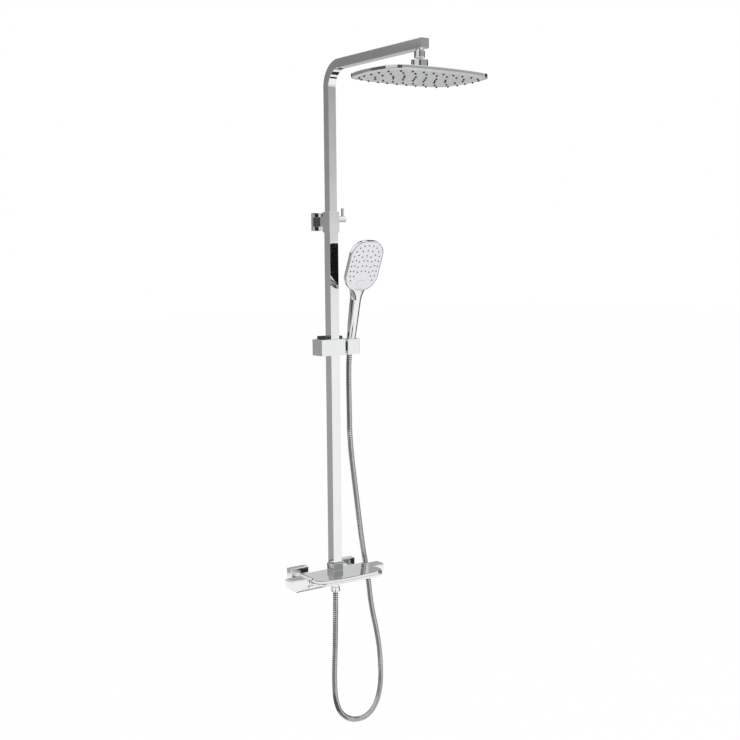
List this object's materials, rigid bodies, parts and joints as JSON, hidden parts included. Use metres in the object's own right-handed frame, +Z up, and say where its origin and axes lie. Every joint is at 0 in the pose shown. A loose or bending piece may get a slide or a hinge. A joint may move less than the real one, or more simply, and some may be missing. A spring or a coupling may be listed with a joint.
{
  "type": "rainfall shower column",
  "caption": "Wall-fed shower column: shelf mixer with end knobs, square telescopic riser, arm with a swivelling rain head, and a hand shower in a sliding holder on a ribbed hose.",
  "frame": {"origin": "on the wall, midway between the two water inlets", "axes": "+Z up along the riser, -Y out from the wall towards the user, +X to the right as seen from the front"},
  "size_m": [0.3255, 0.5715, 1.7544],
  "materials": {
    "chrome": "polished",
    "mirror_top": "polished",
    "satin": "satin",
    "satin_plastic": "satin",
    "plated_plastic": "polished",
    "brass": "machined",
    "dark_plastic": "matte",
    "white_plastic": "gloss",
    "grey_silicone": "matte",
    "rubber": "matte",
    "cartridge_plastic": "matte"
  },
  "bodies": {
    "mixer_and_column": {"mixer_body": "chrome", "shelf": "mirror_top", "thermostat_cartridge": "cartridge_plastic", "diverter_cartridge": "cartridge_plastic", "inlet_tail_left": "brass", "inlet_tail_right": "brass", "union_nut_left": "chrome", "union_nut_right": "chrome", "union_washer_left": "rubber", "union_washer_right": "rubber", "wall_cover_left": "chrome", "wall_cover_right": "chrome", "wall_union_left": "chrome", "wall_union_right": "chrome", "hose_outlet": "chrome", "hose_washer_lower": "rubber", "hose_nut_lower": "chrome", "hose": "chrome", "riser_collar": "chrome", "riser_spigot": "brass", "riser_lower": "chrome", "sleeve": "chrome", "bracket_base": "satin", "bracket_screw": "satin", "bracket_plate": "chrome", "bracket_post": "chrome"},
    "temperature_control": {"temperature_knob": "chrome", "temperature_spindle": "brass"},
    "flow_control": {"flow_knob": "chrome", "flow_spindle": "brass"},
    "riser_lock": {"lock_knob": "chrome", "lock_lever": "chrome", "lock_screw": "brass"},
    "arm": {"riser_upper": "chrome", "riser_guide": "dark_plastic", "arm_end_plug": "chrome", "arm_nipple": "chrome", "swivel_nut": "chrome"},
    "head_swivel": {"seat_ring": "dark_plastic"},
    "head_rocker": {"strainer": "satin"},
    "rain_head": {"ball_stem": "chrome", "head_flange": "plated_plastic", "head_shell": "plated_plastic", "head_face": "satin_plastic", "head_nozzles": "grey_silicone"},
    "slider": {"slider_body": "plated_plastic", "slider_insert": "dark_plastic", "brake_pad": "rubber", "pivot_pin": "satin", "pivot_washer": "dark_plastic", "hose_neck": "chrome"},
    "swivel_holder": {"holder": "plated_plastic", "hose_tip": "chrome"},
    "hand_shower": {"shower_shell": "plated_plastic", "shower_face": "white_plastic", "shower_nozzles": "grey_silicone", "shower_inlet": "plated_plastic", "hose_washer_upper": "rubber", "hose_cone_nut": "chrome"},
    "button": {"spray_button": "white_plastic"}
  },
  "joints": [
    {"name": "temperature_turn", "type": "hinge", "parent": "mixer_and_column", "child": "temperature_control", "pos_m": [-0.1205, -0.084, 0], "axis": [-1, 0, 0], "range_deg": [-90, 150]},
    {"name": "flow_turn", "type": "hinge", "parent": "mixer_and_column", "child": "flow_control", "pos_m": [0.1205, -0.084, 0], "axis": [1, 0, 0], "range_deg": [-90, 90]},
    {"name": "lock_turn", "type": "hinge", "parent": "mixer_and_column", "child": "riser_lock", "pos_m": [0.0295, -0.076, 0.941], "axis": [1, 0, 0], "range_deg": [-90, 0]},
    {"name": "riser_height", "type": "slide", "parent": "mixer_and_column", "child": "arm", "axis": [0, 0, 1], "range_m": [-0.27, 0.19]},
    {"name": "head_spin", "type": "hinge", "parent": "arm", "child": "head_swivel", "pos_m": [0, -0.4445, 1.3015], "axis": [0, 0, 1], "continuous": true},
    {"name": "head_tilt_side", "type": "hinge", "parent": "head_swivel", "child": "head_rocker", "pos_m": [0, -0.4445, 1.3015], "axis": [1, 0, 0], "range_deg": [-8, 8]},
    {"name": "head_tilt_front", "type": "hinge", "parent": "head_rocker", "child": "rain_head", "pos_m": [0, -0.4445, 1.3015], "axis": [0, 1, 0], "range_deg": [-8, 8]},
    {"name": "slider_height", "type": "slide", "parent": "mixer_and_column", "child": "slider", "axis": [0, 0, 1], "range_m": [-0.2, 0.26], "deforming": ["hose"]},
    {"name": "holder_swivel", "type": "hinge", "parent": "slider", "child": "swivel_holder", "pos_m": [0.034, -0.078, 0.612], "axis": [1, 0, 0], "range_deg": [-7, 30], "deforming": ["hose_neck"]},
    {"name": "hand_shower_lift", "type": "slide", "parent": "swivel_holder", "child": "hand_shower", "axis": [0, -0.2079, 0.9781], "range_m": [0, 0.06], "deforming": ["hose_tip"]},
    {"name": "spray_button_press", "type": "slide", "parent": "hand_shower", "child": "button", "axis": [0, 0.9164, 0.4003], "range_m": [0, 0.0015], "stiffness_N_per_m": 800}
  ]
}
